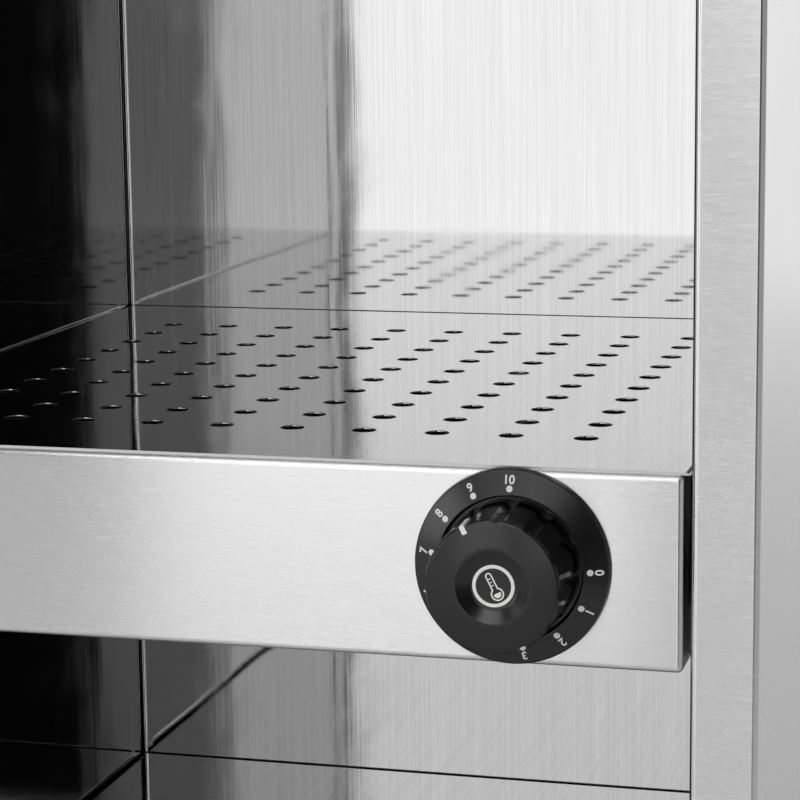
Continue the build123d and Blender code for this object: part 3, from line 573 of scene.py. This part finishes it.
def mercuryOutline():
    # lower part of the bulb, closed by a straight level
    p = knobSign
    level = math.radians(p["mercuryLevel"])
    around = np.linspace(level, 2 * math.pi - level, p["steps"])
    return arc(p["bulbRadius"] - p["mercuryInset"] * p["line"], around, p["bulbPlace"])


def outlinesToCurve(outlines):
    # one flat curve in millimetres, filled between its outer and inner outlines
    curve = bpy.data.curves.new("sign", "CURVE")
    curve.dimensions = "2D"
    curve.fill_mode = "BOTH"
    curve.extrude = 0.5
    for outline in outlines:
        spline = curve.splines.new("POLY")
        spline.points.add(len(outline) - 1)
        flat = np.column_stack([outline / mm, np.zeros(len(outline)), np.ones(len(outline))])
        spline.points.foreach_set("co", flat.ravel())
        spline.use_cyclic_u = True
    return curve


def makeKnobSign():
    p = knobSign
    outlines = [
        arc(p["ringOuter"], fullTurn(3 * p["steps"])),
        arc(p["ringInner"], fullTurn(3 * p["steps"])),
        thermometerOutline(0.0),
        thermometerOutline(p["line"]),
        mercuryOutline(),
    ]
    left, right = [share * (p["stemHalf"] - p["line"]) for share in p["tickSpan"]]
    for tick in p["ticks"]:
        low, high = tick - p["tickHalf"], tick + p["tickHalf"]
        outlines.append(np.array([[low, left], [high, left], [high, right], [low, right]]))
    points, faces = curveArrays(outlinesToCurve(outlines))
    points[:, :2] *= mm
    points[:, 2] = (points[:, 2] + 0.5) * p["thickness"]
    turn = math.radians(p["turn"])
    x = points[:, 0] * math.cos(turn) - points[:, 1] * math.sin(turn)
    y = points[:, 0] * math.sin(turn) + points[:, 1] * math.cos(turn)
    floorY = knobFrontY + p["floorBelowFace"]
    placed = np.stack([dialX + x, floorY - points[:, 2], dialZ + y], -1)
    addMesh("knobSign", placed, faces, materials["white"], "knob", "pointer_white", smooth=False)


makeKnobSign()
print("knob sign printed")


# Rolled edges of the deck's holes, on the same grid as the holes
holeRims = {
    "columns": 10, "rows": 10, "pitch": 25.0 * mm, "firstRow": 51.3 * mm, "radius": 4.1 * mm,
    "roll": 0.35 * mm, "sheet": 0.8 * mm, "lift": 0.02 * mm, "gap": 0.03 * mm, "sides": 20, "profile": 4,
}


def makeHoleRims():
    # each rim is a closed ring: the hole's wall, rolled over by a quarter circle at the top face,
    # and a back that the sheet hides
    p = holeRims
    roll = np.linspace(0, math.pi / 2, p["profile"])
    top = deckHigh.z + p["lift"]
    bore = p["radius"] - p["gap"]
    radius = np.concatenate([[bore], bore + p["roll"] * (1 - np.cos(roll)), [bore + p["roll"]]])
    height = np.concatenate([[top - p["sheet"]], top - p["roll"] * (1 - np.sin(roll)), [top - p["sheet"]]])
    turn = fullTurn(p["sides"])
    x = radius[:, None] * np.cos(turn)
    y = radius[:, None] * np.sin(turn)
    z = np.repeat(height[:, None], p["sides"], 1)
    one = np.stack([x, y, z], -1).reshape(-1, 3)
    faces = ringFaces(len(radius), p["sides"]).tolist()
    parts = []
    for i in range(p["columns"]):
        for j in range(p["rows"]):
            place = [(i - (p["columns"] - 1) / 2) * p["pitch"], fasciaY + p["firstRow"] + j * p["pitch"], 0]
            parts.append((one + place, faces))
    addMesh("deckHoleRims", *joinArrays(parts), materials["deck"], "cabinet", "polished_steel")


makeHoleRims()
print("hole rims rolled")


# Camera where the photograph was taken from
photoCamera = {
    "place": (0.2651, -0.9079, 0.4033), "yaw": 15.204, "pitch": 9.803, "roll": -0.687,
    "lens": 113.28, "sensor": 36.0, "near": 0.01, "far": 50.0,
}


def makeCamera():
    p = photoCamera
    data = bpy.data.cameras.new("camera")
    data.lens, data.sensor_width = p["lens"], p["sensor"]
    data.clip_start, data.clip_end = p["near"], p["far"]
    obj = bpy.data.objects.new("camera", data)
    bpy.context.scene.collection.objects.link(obj)
    turn = (
        Matrix.Rotation(math.radians(p["yaw"]), 4, "Z")
        @ Matrix.Rotation(math.radians(90 - p["pitch"]), 4, "X")
        @ Matrix.Rotation(math.radians(p["roll"]), 4, "Z")
    )
    obj.matrix_world = Matrix.Translation(p["place"]) @ turn
    bpy.context.scene.camera = obj


makeCamera()
print("camera placed")


# Soft studio light
lamps = {
    "front": {"place": (-0.324, -1.55, 0.44), "aim": (-0.324, 0.0, 0.44), "size": (0.45, 0.86), "glow": 1.4},
    "frontEdge": {"place": (0.0, -1.6, 0.95), "aim": (0.0, 0.0, 0.95), "size": (0.12, 0.8), "glow": 1.6},
    "bends": {"place": (0.24, -1.6, 0.6), "aim": (0.24, 0.0, 0.6), "size": (0.36, 1.1), "glow": 1.1},
    "left": {"place": (-1.0, -1.3, 0.42), "aim": (0.1, -0.17, 0.22), "size": (0.52, 0.62), "glow": 2.4},
    "high": {"place": (-0.2, -1.55, 1.55), "aim": (0.0, -0.1, 0.25), "size": (1.3, 0.55), "glow": 3.0},
    "top": {"place": (0.1, 0.1, 2.2), "aim": (0.0, 0.1, 0.3), "size": (1.6, 1.6), "glow": 1.0},
    "right": {"place": (1.0, 1.9, 0.45), "aim": (0.1, 0.1, 0.3), "size": (1.5, 1.3), "glow": 0.62},
    "back": {"place": (-0.8, 2.3, 0.7), "aim": (0.0, 0.0, 0.3), "size": (1.6, 1.6), "glow": 0.8},
}
surroundings = {"glow": 0.34, "seenGlow": 0.97}
paleFloor = {
    "reach": 30.0, "color": (0.80, 0.84), "cloud": 2.0, "rough": 0.6, "fadeFrom": 0.7, "fadeTo": 2.4,
}
darkCard = {"near": (0.24, -0.75), "far": (0.75, -0.92), "bottom": 0.001, "top": 0.85, "color": 0.01}


def makeLamps():
    # the energy grows with the size of a lamp, so that its glow stays as written
    for name, p in lamps.items():
        data = bpy.data.lights.new(name, "AREA")
        data.shape = "RECTANGLE"
        data.size, data.size_y = p["size"]
        data.energy = p["glow"] * math.pi * p["size"][0] * p["size"][1]
        obj = bpy.data.objects.new(name, data)
        bpy.context.scene.collection.objects.link(obj)
        obj.location = p["place"]
        obj.rotation_euler = (Vector(p["aim"]) - Vector(p["place"])).to_track_quat("-Z", "Y").to_euler()
        obj.visible_camera = False


def makeWorld():
    # an even pale room: the object gets its glow, and the camera alone sees the paler seenGlow
    world = bpy.data.worlds.new("studio")
    world.use_nodes = True
    tree = world.node_tree
    background = tree.nodes["Background"]
    background.inputs["Color"].default_value = grey(1.0)
    path = tree.nodes.new("ShaderNodeLightPath")
    level = tree.nodes.new("ShaderNodeMapRange")
    tree.links.new(path.outputs["Is Camera Ray"], level.inputs["Value"])
    level.inputs["To Min"].default_value = surroundings["glow"]
    level.inputs["To Max"].default_value = surroundings["seenGlow"]
    tree.links.new(level.outputs[0], background.inputs["Strength"])
    bpy.context.scene.world = world


def stagePiece(name, corners, material):
    mesh = bpy.data.meshes.new(name)
    mesh.from_pydata(corners, [], [(0, 1, 2, 3)])
    mesh.materials.append(material)
    obj = bpy.data.objects.new(name, mesh)
    bpy.context.scene.collection.objects.link(obj)
    return obj


def floorMaterial():
    # pale grey that fades to the background with the distance from the object, for the camera alone
    p = paleFloor
    t = NodeTree("floorPale")
    low, high = p["color"]
    t.set(color=t.mix(t.noise(scale=p["cloud"]), grey(low), grey(high)), rough=p["rough"])
    distance = t.add("ShaderNodeVectorMath", operation="LENGTH")
    t.plug(t.coords, distance.inputs[0])
    fade = t.span(distance.outputs["Value"], p["fadeFrom"], p["fadeTo"], 0.0, 1.0, smooth=True)
    seen = t.add("ShaderNodeLightPath").outputs["Is Camera Ray"]
    glow = t.add("ShaderNodeEmission")
    glow.inputs["Strength"].default_value = surroundings["seenGlow"]
    blend = t.add("ShaderNodeMixShader")
    t.plug(t.math("MULTIPLY", fade, seen), blend.inputs[0])
    t.plug(t.shader.outputs[0], blend.inputs[1])
    t.plug(glow.outputs[0], blend.inputs[2])
    t.plug(blend.outputs[0], t.tree.nodes["Material Output"].inputs["Surface"])
    return t.material


def makeStage():
    # pale floor, and a dark card that only reflections see, as photographers set beside polished steel
    reach = paleFloor["reach"]
    corners = [(-reach, -reach, 0), (reach, -reach, 0), (reach, reach, 0), (-reach, reach, 0)]
    floor = stagePiece("floor", corners, floorMaterial())
    near, far, bottom, top = darkCard["near"], darkCard["far"], darkCard["bottom"], darkCard["top"]
    corners = [(*near, bottom), (*far, bottom), (*far, top), (*near, top)]
    cardBlack = NodeTree("cardBlack").set(color=grey(darkCard["color"]), rough=1.0, specular=0.0)
    card = stagePiece("darkCard", corners, cardBlack)
    card.visible_camera = card.visible_diffuse = card.visible_shadow = False


makeLamps()
makeWorld()
makeStage()
bpy.context.scene.view_settings.view_transform = "Standard"
print("studio ready")
